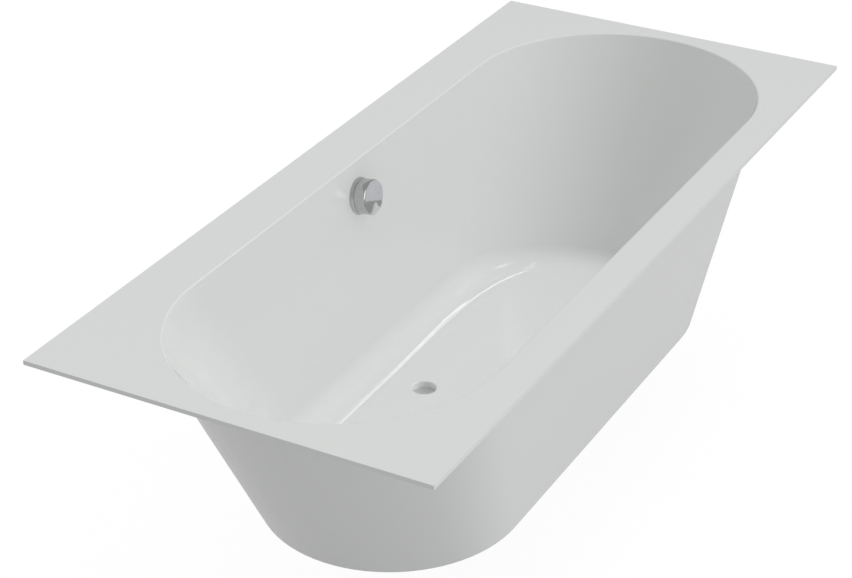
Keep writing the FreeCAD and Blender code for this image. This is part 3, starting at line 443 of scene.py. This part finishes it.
def threaded(radius, depth, pitch, start, turns, steps):
    # a ridge wound round a rod: one turn up its helix, repeated end to end
    path = [(radius - depth * (1 - high), 0, start + pitch * share) for high, share in threadRidge]
    turn = swept(path, steps, rise=pitch, closed=False)
    return welded(repeated(turn, [Matrix.Translation((0, 0, pitch * index)) for index in range(turns)]))


def repeated(shape, places):
    # one shape from a copy of another in each place
    whole = bmesh.new()
    mesh = bpy.data.meshes.new("repeated")
    for place in places:
        copy = shape.copy()
        copy.transform(place)
        copy.to_mesh(mesh)
        whole.from_mesh(mesh)
        copy.free()
    shape.free()
    bpy.data.meshes.remove(mesh)
    return whole


def flattened(shape, sides, apothem, rib=0.0, ribs=6, outside=0.9):
    # pulls the outside of a turned blank in to the flats of a polygon, with shallow ribs on them
    for point in shape.verts:
        radius = math.hypot(point.co.x, point.co.y)
        if radius < apothem * outside:
            continue
        turn = math.atan2(point.co.y, point.co.x)
        apart = (turn + math.pi / sides) % (math.tau / sides) - math.pi / sides
        wave = rib * (0.5 - 0.5 * math.cos(turn * sides * ribs))
        limit = apothem / math.cos(apart) - wave
        if radius > limit:
            point.co.x *= limit / radius
            point.co.y *= limit / radius
    return shape


def gussets(count, inner, outer, base, tip, rimTip, thickness):
    # upright ribs from a boss out to a rim, from a base to a tip that has its own level at the rim
    shape = bmesh.new()
    corners = ((inner, base), (outer, base), (outer, rimTip), (inner, tip))
    points = [shape.verts.new((radius, -thickness / 2, level)) for radius, level in corners]
    side = bmesh.ops.contextual_create(shape, geom=points)["faces"]
    grown = bmesh.ops.extrude_face_region(shape, geom=side)["geom"]
    bmesh.ops.translate(shape, verts=[item for item in grown if isinstance(item, bmesh.types.BMVert)],
                        vec=(0, thickness, 0))
    bmesh.ops.recalc_face_normals(shape, faces=shape.faces)
    turns = [math.tau * (index + 0.5) / count for index in range(count)]
    return repeated(shape, [Matrix.Rotation(turn, 4, "Z") for turn in turns])


def block(size, centre):
    shape = bmesh.new()
    bmesh.ops.create_cube(shape, size=1, matrix=Matrix.Translation(centre) @ Matrix.Diagonal((*size, 1)))
    return shape


def joined(*shapes):
    whole = bmesh.new()
    for shape in shapes:
        mesh = bpy.data.meshes.new("joining")
        shape.to_mesh(mesh)
        whole.from_mesh(mesh)
        shape.free()
        bpy.data.meshes.remove(mesh)
    return whole


def cutOut(shape, *cutters):
    # shape less its cutters, each a bmesh
    made = []
    for part in (shape, *cutters):
        mesh = bpy.data.meshes.new("cutting")
        part.to_mesh(mesh)
        part.free()
        holder = bpy.data.objects.new("cutting", mesh)
        bpy.context.scene.collection.objects.link(holder)
        made.append(holder)
    for cutter in made[1:]:
        cut = made[0].modifiers.new("cut", "BOOLEAN")
        cut.operation = "DIFFERENCE"
        cut.solver = "EXACT"
        cut.object = cutter
    bpy.context.view_layer.update()
    result = bpy.data.meshes.new_from_object(made[0].evaluated_get(bpy.context.evaluated_depsgraph_get()))
    whole = bmesh.new()
    whole.from_mesh(result)
    for holder in made:
        bpy.data.meshes.remove(holder.data)
    bpy.data.meshes.remove(result)
    return whole


def landed(name, shape, body, slot, places, hides=()):
    # one object at the origin from copies of a shape, each in its place, riding on a body of the frame
    whole = repeated(shape, [place @ millimetres for place in places])
    mesh = bpy.data.meshes.new(name)
    whole.to_mesh(mesh)
    whole.free()
    mesh.polygons.foreach_set("use_smooth", [True] * len(mesh.polygons))
    mesh.set_sharp_from_angle(angle=math.radians(crease))
    mesh.materials.append(finishes[slot])
    piece = bpy.data.objects.new(name, mesh)
    bpy.context.scene.collection.objects.link(piece)
    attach(piece, body)
    if hides:
        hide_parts(*hides)


def standing(x, y, z, turn=0.0, flip=False):
    place = Matrix.Translation((x, y, z)) @ Matrix.Rotation(turn, 4, "Z")
    return place @ Matrix.Rotation(math.pi, 4, "X") if flip else place


def lying(start, direction):
    return Matrix.Translation(start) @ Vector(direction).to_track_quat("Z", "Y").to_matrix().to_4x4()


# Overflow: turning knob and rosette

knobShape = {
    "radius": 34, "back": 9.25, "front": 33, "edge": 3, "backEdge": 0.15, "steps": 192,
    "dome": 0.9, "domeEdge": 5, "domeSteps": 10, "shoulder": 1.0, "wall": 2.5, "roof": 28.5,
    "hub": 9, "hubFoot": 11.6, "hubEdge": 0.5, "spindle": 4, "spindleTop": 24,
    "access": {"radius": 2.3, "level": 18.8, "inside": 26, "outside": 40},
}


def makeKnob():
    size = knobShape
    inner = size["radius"] - size["wall"]
    reach = size["radius"] - size["domeEdge"]
    shares = [step / size["domeSteps"] for step in range(size["domeSteps"] + 1)]
    outline = [(reach * share, size["front"] - size["dome"] * share ** 2) for share in shares] + [
        (size["radius"], size["front"] - size["shoulder"], size["edge"]),
        (size["radius"], size["back"], size["backEdge"]), (inner, size["back"], size["backEdge"]),
        (inner, size["roof"]), (size["hub"], size["roof"]), (size["hub"], size["hubFoot"], size["hubEdge"]),
        (size["spindle"], size["hubFoot"]), (size["spindle"], size["spindleTop"]), (0, size["spindleTop"])]
    # the hole in its side that the grub screw is reached through
    access = size["access"]
    hole = peg(access["radius"], access["inside"], access["outside"])
    hole.transform(lying((0, 0, access["level"]), (0, -1, 0)))
    knob = cutOut(spun(outline, size["steps"]), hole)
    landed("knob_cap", knob, "knob", "chrome_trim", [wallFrame], ["overflow_knob"])


rosetteShape = {
    "radius": 36, "rim": 1.5, "rimEdge": 0.5, "front": 34.4, "depth": 9, "edge": 0.3, "steps": 160,
    "plate": 2.5, "wall": 3, "slope": 1.5, "hub": 8, "bore": 4.2, "boreEdge": 0.2,
    "inlet": {"wide": 44, "deep": 30, "at": -27, "low": 1, "high": 5.5},
    "screws": {"out": 20, "radius": 4.8, "sunk": 1.55, "clear": 12},
}


def makeRosette():
    size = rosetteShape
    inner = size["radius"] - size["wall"]
    back = size["depth"] - size["plate"]
    outline = [
        (size["bore"], 0), (size["hub"], 0), (size["hub"], back), (inner - size["slope"], back), (inner, 0),
        (size["radius"], 0, size["edge"]), (size["radius"], size["rim"], size["rimEdge"]),
        (size["front"], size["depth"], size["edge"]), (size["bore"], size["depth"], size["boreEdge"]),
        (size["bore"], 0)]
    slot = size["inlet"]
    inlet = block((slot["wide"], slot["deep"], slot["high"] - slot["low"]),
                  (0, slot["at"], (slot["low"] + slot["high"]) / 2))
    screws = size["screws"]
    heads = []
    for side in (-1, 1):
        head = peg(screws["radius"], size["depth"] - screws["sunk"], screws["clear"])
        head.transform(Matrix.Translation((side * screws["out"], 0, 0)))
        heads.append(head)
    rosette = cutOut(spun(outline, size["steps"]), inlet, *heads)
    landed("rosette", rosette, "tub", "chrome_trim", [wallFrame], ["overflow_flange"])


makeKnob()
makeRosette()

# Waste: plug with its lip seal

plugShape = {
    "radius": 22.5, "thickness": 2.5, "shoulder": (0.5, 0.4), "foot": 0.3, "steps": 128,
    "face": [(0, 0), (6, -0.02), (12, -0.05), (17.15, -0.1), (17.5, -0.45), (17.85, -0.12), (21, -0.2)],
}
sealShape = {
    "lips": [(3, 0), (19.5, 0, 0.3), (20.3, 0.9, 0.2), (22, 0.2, 0.2), (22, 0.9, 0.2), (20.6, 1.4, 0.2)],
    "seat": [(22, -0.2, 0.1), (21.6, 0), (3, 0)], "steps": 96,
}


def makePlug():
    size = plugShape
    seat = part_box("plug")[0].z * 1000
    top = seat + size["thickness"]
    drop, rounding = size["shoulder"]
    outline = raised(size["face"], top) + [
        (size["radius"], top - drop, rounding), (size["radius"], seat, size["foot"]), (0, seat)]
    centre = standing(plugPlace.x, plugPlace.y, 0)
    landed("plug_disc", spun(outline, size["steps"]), "plug", "plug_chrome", [centre], ["plug"])
    size = sealShape
    lips = raised(size["lips"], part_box("plug_seal")[0].z * 1000)
    outline = lips + raised(size["seat"], seat) + lips[:1]
    landed("plug_lip_seal", spun(outline, size["steps"]), "plug", "seal_rubber", [centre], ["plug_seal"])


makePlug()

# Cross-head screws

screwShape = {
    "flat": 0.7, "shoulder": 0.55, "round": 0.2, "rim": 0.2, "cross": (1.1, 5.2, 1.8), "above": 0.4,
    "shank": 2.3, "core": 1.9, "neck": 0.6, "point": 1.2,
    "depth": 0.5, "pitch": 1.2, "threadFrom": 0.8, "plain": 1.5, "steps": 32, "threadSteps": 16,
}


def crossHead(radius, height, length):
    # head towards -Z with a cross recess, and a threaded shank above it
    size = screwShape
    head = spun([
        (0, -height), (radius * size["flat"], -height),
        (radius, -height * size["shoulder"], radius * size["round"]), (radius, 0, size["rim"]),
        (size["shank"], 0), (size["core"], size["neck"]), (size["core"], length),
        (0, length + size["point"])], size["steps"])
    wide, long, deep = size["cross"]
    tall = deep + size["above"]
    centre = (0, 0, -height + (deep - size["above"]) / 2)
    head = cutOut(head, block((wide, long, tall), centre), block((long, wide, tall), centre))
    turns = int((length - size["plain"]) / size["pitch"])
    return joined(head, threaded(size["shank"], size["depth"], size["pitch"], size["threadFrom"], turns,
                                 size["threadSteps"]))


railScrews = {
    "head": {"radius": 5, "height": 3, "length": 12.2},
    "across": 0.280, "beside": 0.029, "middle": -0.019, "along": 0.120, "level": 0.133, "turn": 0.4,
}


def makeRailScrews():
    size = railScrews
    places = []
    for side in (-1, 1):
        for beside in (-1, 1):
            for row in (-1, 1):
                places.append(standing(side * size["across"] + beside * size["beside"],
                                       size["middle"] + row * size["along"], size["level"],
                                       size["turn"] * side + row))
    landed("rail_cross_screws", crossHead(**size["head"]), "tub", "steel_fixings", places, ["rail_screws"])


makeRailScrews()
print("overflow, plug and screws made")

# Feet: threaded studs, hexagon nuts and moulded pads

studShape = {
    "radius": 6, "foot": 6, "top": 132, "tip": (1, 1.2), "steps": 32,
    "depth": 1.05, "pitch": 1.75, "threadFrom": 16.5, "plain": 3, "threadSteps": 24,
}
padShape = {
    "outline": [(0, 1.2), (19, 1.2), (19, 0, 0.3), (25.5, 0, 0.3), (25.5, 1.2), (26.4, 1.2), (26.4, 0, 0.3),
                (28, 0, 0.6), (28, 5, 1.2), (14, 5.6, 1.5), (11, 16, 0.8), (6.1, 16), (6.1, 6.2), (0, 6.2)],
    "ribs": {"count": 8, "inner": 10, "outer": 27, "base": 4, "tip": 13.5, "rimTip": 4, "thickness": 2.2},
    "steps": 96,
}


def makeStud():
    size = studShape
    core = size["radius"] - size["depth"]
    down, inward = size["tip"]
    rod = spun([(0, size["foot"]), (core, size["foot"]), (core, size["top"] - down),
                (core - inward, size["top"]), (0, size["top"])], size["steps"])
    turns = int((size["top"] - size["plain"] - size["threadFrom"]) / size["pitch"])
    return joined(rod, threaded(size["radius"], size["depth"], size["pitch"], size["threadFrom"], turns,
                                size["threadSteps"]))


def makeFeet():
    rod = makeStud()
    pad = joined(spun(padShape["outline"], padShape["steps"]), gussets(**padShape["ribs"]))
    for number in footNumbers:
        spot = middle(f"foot_stud_{number}")
        place = [standing(spot.x, spot.y, 0, number)]
        landed(f"stud_thread_{number}", rod.copy(), f"foot_{number}", "steel_fixings", place,
               [f"foot_stud_{number}"])
        landed(f"pad_moulding_{number}", pad.copy(), f"foot_{number}", "foot_plastic", place,
               [f"foot_pad_{number}"])
    rod.free()
    pad.free()


hexShape = {
    "sides": 6, "apothem": 10, "high": 10, "bore": 6, "boreEdge": 0.6,
    "face": 0.3, "slope": (0.6, 0.5), "chamfer": 0.9, "steps": 120,
    "levels": {"stud": 0.097, "lock": 0.085},
}


def hexNut():
    size = hexShape
    high = size["high"]
    corner = size["apothem"] / math.cos(math.pi / size["sides"])
    inward, up = size["slope"]
    lower = [(size["bore"], size["boreEdge"]), (size["bore"] + size["boreEdge"], 0),
             (size["apothem"] - size["face"], 0), (corner - inward, up), (corner, size["chamfer"])]
    upper = [(radius, high - level) for radius, level in reversed(lower)]
    outline = lower + [(corner, high / 2)] + upper + lower[:1]
    return flattened(spun(outline, size["steps"]), size["sides"], size["apothem"])


def makeHexNuts():
    spots = [middle(f"foot_stud_{number}") for number in footNumbers]
    for label, level in hexShape["levels"].items():
        landed(f"{label}_hexagons", hexNut(), "tub", "steel_fixings",
               [standing(spot.x, spot.y, level) for spot in spots], [f"{label}_nuts"])


makeFeet()
makeHexNuts()
print("feet made")

# Pipe unions and trap nuts

nutShape = {
    "pipe": {"apothem": 22, "grip": 12, "end": 8, "lip": 14.3, "thread": 17, "seal": 5},
    "trap": {"apothem": 28, "grip": 11, "end": 8, "lip": 20.3, "thread": 23, "seal": 5},
    "lipEdge": (0.6, 0.4), "foot": (2.5, 0.6), "flank": (2.2, 0.8), "brow": (1.2, 0.6), "face": (0.8, 0.3),
    "threadEdge": 0.8, "sides": 8, "rib": 0.7, "steps": 192,
}


def unionNut(kind):
    size = nutShape
    apothem = size[kind]["apothem"]
    corner = apothem / math.cos(math.pi / size["sides"])
    lip = size[kind]["lip"]
    thread = size[kind]["thread"]
    foot = -size[kind]["end"]
    seal = -size[kind]["seal"]
    head = size[kind]["grip"]
    lipOut, lipUp = size["lipEdge"]
    outline = [
        (lip, foot + lipUp), (lip + lipOut, foot), (apothem - size["foot"][0], foot, size["foot"][1]),
        (corner, foot + size["flank"][0], size["flank"][1]), (corner, (foot + head) / 2),
        (corner, head - size["brow"][0], size["brow"][1]),
        (apothem - size["face"][0], head, size["face"][1]), (thread + size["threadEdge"], head),
        (thread, head - size["threadEdge"]), (thread, seal), (lip, seal), (lip, foot + lipUp)]
    return flattened(spun(outline, size["steps"]), size["sides"], apothem, size["rib"])


# metres from the middle of each fitting to the zero level of its nut's outline
unionPlaces = {"elbow": 0.050, "wasteBody": 0.058, "outlet": 0.060}

wasteSpot = Vector((plugPlace.x, plugPlace.y, 0))
riser = middle("overflow_pipe")
armRun = Vector((riser.x, riser.y, 0)) - wasteSpot
armWay = armRun.normalized()


def makeUnions():
    size = unionPlaces
    port = middle("overflow_arm").z
    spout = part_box("pipe_nuts")[1].z - nutShape["pipe"]["grip"] / 1000
    unions = [standing(riser.x, riser.y, spout),
              standing(riser.x, riser.y, port + size["elbow"], flip=True)]
    for along, way in ((armRun.length - size["elbow"], 1), (size["wasteBody"], -1)):
        unions.append(lying(wasteSpot + armWay * along + Vector((0, 0, port)), armWay * way))
    landed("union_nuts", unionNut("pipe"), "tub", "fitting_plastic", unions, ["pipe_nuts"])
    low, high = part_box("trap_nuts")
    grip = nutShape["trap"]["grip"] / 1000
    traps = [standing(wasteSpot.x, wasteSpot.y, high.z - grip),
             standing(wasteSpot.x - size["outlet"], wasteSpot.y, low.z + grip, flip=True)]
    landed("trap_union_nuts", unionNut("trap"), "tub", "fitting_plastic", traps, ["trap_nuts"])


makeUnions()

# Screws and ribs of the waste body

wasteShape = {
    "screws": 3, "screwHead": {"radius": 4.5, "height": 3.5, "length": 19.2},
    "screwCircle": 0.034, "screwLevel": 0.126, "firstAngle": -60,
    "ribs": {"count": 9, "inner": 26, "outer": 41.5, "base": 126.2, "tip": 114, "rimTip": 123,
             "thickness": 2},
}


def wasteDetails():
    size = wasteShape
    first = math.atan2(armWay.y, armWay.x) + math.radians(size["firstAngle"])
    places = []
    for index in range(size["screws"]):
        turn = first + math.tau * index / size["screws"]
        places.append(standing(wasteSpot.x + size["screwCircle"] * math.cos(turn),
                               wasteSpot.y + size["screwCircle"] * math.sin(turn), size["screwLevel"], index))
    landed("waste_cross_screws", crossHead(**size["screwHead"]), "tub", "steel_fixings", places,
           ["waste_screws"])
    # every third rib is in line with a screw
    turned = standing(wasteSpot.x, wasteSpot.y, 0, first + 1.5 * math.tau / size["ribs"]["count"])
    landed("waste_body_ribs", gussets(**size["ribs"]), "tub", "pipe_plastic", [turned])


wasteDetails()
print("unions and waste made")

# Studio: white floor and surroundings, and soft lamps whose levels were matched to the photo one by one

studio = {
    "sky": 0.717, "skyInGloss": 0.55,
    "floorSize": 30, "floorBounce": 0.59, "floorShadow": 0.15,
    "fills": [
        ("top_light", (0, 0, 1), 0.17),
        ("near_light", (0, -1, 0.3), 0.140),
        ("near_right_light", (0.447, -0.63, 0.635), 0.355),
        ("far_light", (0, 1, 0.3), 0.061),
    ],
    "fillSpread": 20,
    "glint": {"frameOf": Matrix.Translation((1.35, -0.50, 2.15)), "long": 0.4, "wide": 0.35, "level": 2.6},
    "knobEdge": {"towards": (-0.45, -0.85, 0.1), "strength": 0.64, "spread": 80},
}


def studioSky():
    # white to the camera and through glass, grey in gloss, and with a level of its own as a light
    world = bpy.data.worlds.new("studio_sky")
    bpy.context.scene.world = world
    world.use_nodes = True
    tree = world.node_tree
    tree.nodes.clear()
    path = tree.nodes.new("ShaderNodeLightPath")
    levels = [("Is Camera Ray", 1.0), ("Is Glossy Ray", studio["skyInGloss"]), ("Is Transmission Ray", 1.0)]
    strength = None
    for ray, level in levels:
        chosen = tree.nodes.new("ShaderNodeMapRange")
        chosen.inputs["To Max"].default_value = level
        chosen.inputs["To Min"].default_value = studio["sky"]
        if strength:
            tree.links.new(strength.outputs[0], chosen.inputs["To Min"])
        tree.links.new(path.outputs[ray], chosen.inputs["Value"])
        strength = chosen
    background = tree.nodes.new("ShaderNodeBackground")
    tree.links.new(strength.outputs[0], background.inputs["Strength"])
    output = tree.nodes.new("ShaderNodeOutputWorld")
    tree.links.new(background.outputs[0], output.inputs["Surface"])


def floorFinish():
    # white to the camera with a faint shadow, a grey bounce to the object, and clear from below
    made = Finish("studio_floor", Roughness=1.0)
    bounce = studio["floorBounce"]
    made.set(Base_Color=(bounce, bounce, bounce, 1))
    shade = made.node("BsdfDiffuse", inputs={"Color": (1, 1, 1, 1)})
    glow = made.node("Emission", inputs={"Strength": 1.0})
    white = made.node("MixShader", inputs={0: studio["floorShadow"], 1: glow, 2: shade})
    seen = made.node("LightPath", out="Is Camera Ray")
    shown = made.node("MixShader", inputs={0: seen, 1: made.shader, 2: white})
    clear = made.node("BsdfTransparent")
    under = made.node("NewGeometry", out="Backfacing")
    made.show(made.node("MixShader", inputs={0: under, 1: shown, 2: clear}))
    return made.material


def studioFloor():
    mesh = bpy.data.meshes.new("studio_floor")
    shape = bmesh.new()
    bmesh.ops.create_grid(shape, x_segments=1, y_segments=1, size=studio["floorSize"] / 2)
    shape.to_mesh(mesh)
    shape.free()
    mesh.materials.append(floorFinish())
    floor = bpy.data.objects.new("studio_floor", mesh)
    bpy.context.scene.collection.objects.link(floor)


def sun(name, towards, strength, spread):
    # strength 1 shows a white surface that faces it as white
    lamp = bpy.data.lights.new(name, "SUN")
    lamp.energy = strength * math.pi
    lamp.angle = math.radians(spread)
    lamp.use_shadow = False
    holder = bpy.data.objects.new(name, lamp)
    holder.rotation_mode = "QUATERNION"
    holder.rotation_quaternion = Vector(towards).to_track_quat("Z", "Y")
    bpy.context.scene.collection.objects.link(holder)
    return holder


def panelLamp(name, frameOf, long, wide, level, colour=(1, 1, 1)):
    # a panel that only gloss shows, where level 1 is white
    lamp = bpy.data.lights.new(name, "AREA")
    lamp.shape = "RECTANGLE"
    lamp.size = long
    lamp.size_y = wide
    lamp.energy = level * math.pi * long * wide
    lamp.color = colour
    holder = bpy.data.objects.new(name, lamp)
    holder.matrix_world = frameOf
    holder.visible_diffuse = False
    holder.visible_camera = False
    bpy.context.scene.collection.objects.link(holder)
    return holder


def onlyOn(holder, piece):
    # a lamp that lights nothing but one piece
    lit = bpy.data.collections.new(holder.name + "_lit")
    holder.light_linking.receiver_collection = lit
    lit.objects.link(bpy.data.objects[piece])


def studioLamps():
    for name, towards, strength in studio["fills"]:
        sun(name, towards, strength, studio["fillSpread"]).visible_glossy = False
    onlyOn(panelLamp("glint_light", **studio["glint"]), "tub_body")
    edge = sun("edge_light", **studio["knobEdge"])
    edge.visible_diffuse = False
    onlyOn(edge, "knob_cap")


studioSky()
studioFloor()
studioLamps()

# Lamps low in the basin that only gloss shows: the bright line along the floor, and what the knob mirrors

camera = {"place": (-3.1899, -1.6946, 2.4186), "azimuth": 27.870, "down": 29.639,
          "lens": 94.199, "sensor": 36, "shift": -0.0680, "reach": 100}

floorLine = {
    "floor": 0.153, "above": 0.014, "wide": 0.0027, "level": 3.7, "lastLevel": 0.4,
    "points": [(-0.345, 0.1665), (0.00, 0.1680), (0.16, 0.1712), (0.24, 0.1700), (0.30, 0.1660),
               (0.36, 0.1550), (0.41, 0.139), (0.44, 0.1245), (0.458, 0.113)],
}

mirrored = {
    "place": (0.4290, -0.0818, 0.3241), "towards": (-0.762, 0.568, 0.312), "size": 0.30,
    "panels": [("sky_panel", (0, -0.016), 16, 0.38, (0.98, 0.98, 1.08)),
               ("pale_panel", (-0.118, -0.119), 221, 0.46, (0.98, 1.04, 0.97))],
}


def floorStrips():
    # each stretch of the line is carried up along the mirrored view to the lamp that shows there
    eye = Vector(camera["place"])
    over = Vector((0, 0, 1))
    spots = []
    for across, along in floorLine["points"]:
        ray = Vector((across, along, floorLine["floor"])) - eye
        spots.append(eye + ray + Vector((ray.x, ray.y, -ray.z)) * floorLine["above"] / -ray.z)
    for index, (start, end) in enumerate(zip(spots, spots[1:])):
        way = (end - start).normalized()
        frameOf = Matrix.Translation((start + end) / 2) @ turnedTo(way, over.cross(way), over)
        level = floorLine["level"]
        if index == len(spots) - 2:
            level *= floorLine["lastLevel"]
        lamp = panelLamp(f"floor_line_{index}", frameOf, (end - start).length, floorLine["wide"], level)
        onlyOn(lamp, "tub_body")


def knobPanels():
    facing = upright(Vector(mirrored["place"]), Vector(mirrored["towards"]).normalized())
    size = mirrored["size"]
    for name, (across, up), turn, level, colour in mirrored["panels"]:
        frameOf = (facing @ Matrix.Translation((across, up, 0)) @ Matrix.Rotation(math.radians(turn), 4, "Z")
                   @ Matrix.Translation((0, size / 2, 0)) @ Matrix.Rotation(math.pi, 4, "Y"))
        onlyOn(panelLamp(name, frameOf, size, size, level, colour), "knob_cap")


floorStrips()
knobPanels()
print("studio lit")

# Camera, at the photo's viewing angle


def makeCamera():
    data = bpy.data.cameras.new("camera")
    data.lens = camera["lens"]
    data.sensor_width = camera["sensor"]
    data.shift_x = camera["shift"]
    data.clip_end = camera["reach"]
    holder = bpy.data.objects.new("camera", data)
    across, down = math.radians(camera["azimuth"]), math.radians(camera["down"])
    look = Vector((math.cos(across) * math.cos(down), math.sin(across) * math.cos(down), -math.sin(down)))
    holder.location = camera["place"]
    holder.rotation_mode = "QUATERNION"
    holder.rotation_quaternion = look.to_track_quat("-Z", "Y")
    bpy.context.scene.collection.objects.link(holder)
    bpy.context.scene.camera = holder


makeCamera()
bpy.context.scene.view_settings.view_transform = "Standard"
print("scene ready")
